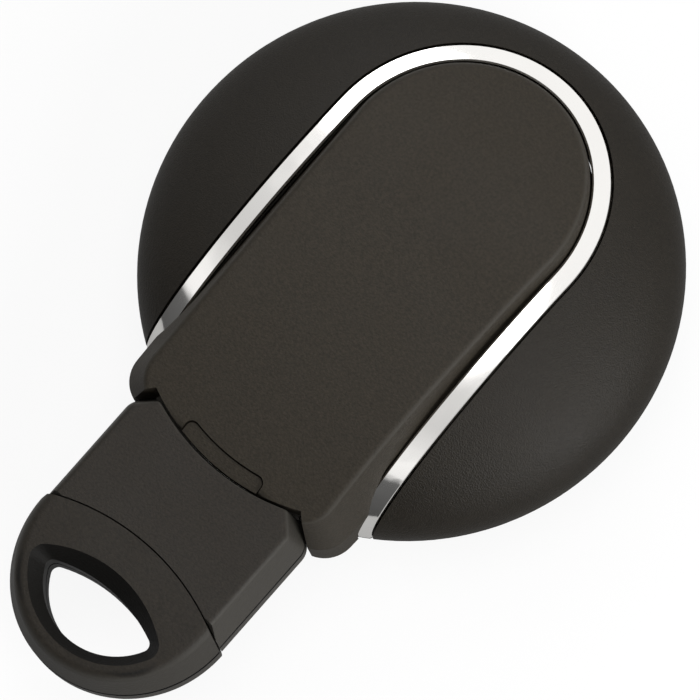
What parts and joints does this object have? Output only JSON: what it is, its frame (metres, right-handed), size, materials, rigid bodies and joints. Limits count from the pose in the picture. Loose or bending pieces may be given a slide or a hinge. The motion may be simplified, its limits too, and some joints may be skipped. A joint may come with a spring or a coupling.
{
  "type": "smart car key",
  "caption": "Round-headed radio car key with bright U-shaped trims, lift-off battery cover, push keys and a slide-out emergency key with a ring loop.",
  "frame": {"origin": "middle of the key's outline, on the surface that its button side rests on", "axes": "+Y towards the round head, +Z out of the plain rear side, +X across the key"},
  "size_m": [0.0546, 0.0807, 0.0196],
  "materials": {
    "grained_plastic": "fine leather-like grain, satin",
    "panel_plastic": "very fine spark-eroded matte",
    "block_plastic": "matte",
    "loop_plastic": "matte, slightly soft",
    "bright_trim": "polished plating",
    "chassis_plastic": "moulded",
    "mat_rubber": "soft matte",
    "key_plastic": "satin",
    "board": "solder mask",
    "switch_metal": "pressed sheet",
    "chip_plastic": "moulded epoxy",
    "ferrite": "sintered",
    "copper": "enamelled wire",
    "cell_steel": "nickel plated",
    "spring_steel": "plated strip",
    "blade_steel": "nickel plated"
  },
  "bodies": {
    "fob": {"front_shell": "grained_plastic", "rear_shell": "grained_plastic", "front_trim": "bright_trim", "rear_trim": "bright_trim", "front_panel": "panel_plastic", "chassis": "chassis_plastic", "button_mat": "mat_rubber", "circuit_board": "board", "lock_switch": "switch_metal", "unlock_switch": "switch_metal", "tailgate_switch": "switch_metal", "controller_chip": "chip_plastic", "radio_chip": "chip_plastic", "crystal": "switch_metal", "antenna_core": "ferrite", "antenna_coil": "copper", "coin_cell": "cell_steel", "contact_plus": "spring_steel", "contact_minus": "spring_steel", "release_spring": "spring_steel"},
    "cover": {"battery_cover": "panel_plastic"},
    "emergency_key": {"key_blade": "blade_steel", "blade_pin": "blade_steel", "key_block_rear": "block_plastic", "key_block_front": "block_plastic", "key_ring_loop": "loop_plastic"},
    "release": {"release_button": "panel_plastic"},
    "lock_key": {"lock_button": "key_plastic"},
    "unlock_key": {"unlock_button": "key_plastic"},
    "tailgate_key": {"tailgate_button": "key_plastic"}
  },
  "joints": [
    {"name": "cover_lift", "type": "slide", "parent": "fob", "child": "cover", "axis": [0, 0, 1], "range_m": [0, 0.025]},
    {"name": "emergency_key_slide", "type": "slide", "parent": "fob", "child": "emergency_key", "axis": [0, -1, 0], "range_m": [0, 0.048]},
    {"name": "release_press", "type": "slide", "parent": "fob", "child": "release", "axis": [0, 0, -1], "range_m": [0, 0.0008], "stiffness_N_per_m": 900, "deforming": ["release_spring"]},
    {"name": "lock_press", "type": "slide", "parent": "fob", "child": "lock_key", "axis": [0, 0, 1], "range_m": [0, 0.00035], "stiffness_N_per_m": 1500},
    {"name": "unlock_press", "type": "slide", "parent": "fob", "child": "unlock_key", "axis": [0, 0, 1], "range_m": [0, 0.00035], "stiffness_N_per_m": 1500},
    {"name": "tailgate_press", "type": "slide", "parent": "fob", "child": "tailgate_key", "axis": [0, 0, 1], "range_m": [0, 0.00035], "stiffness_N_per_m": 1500}
  ]
}
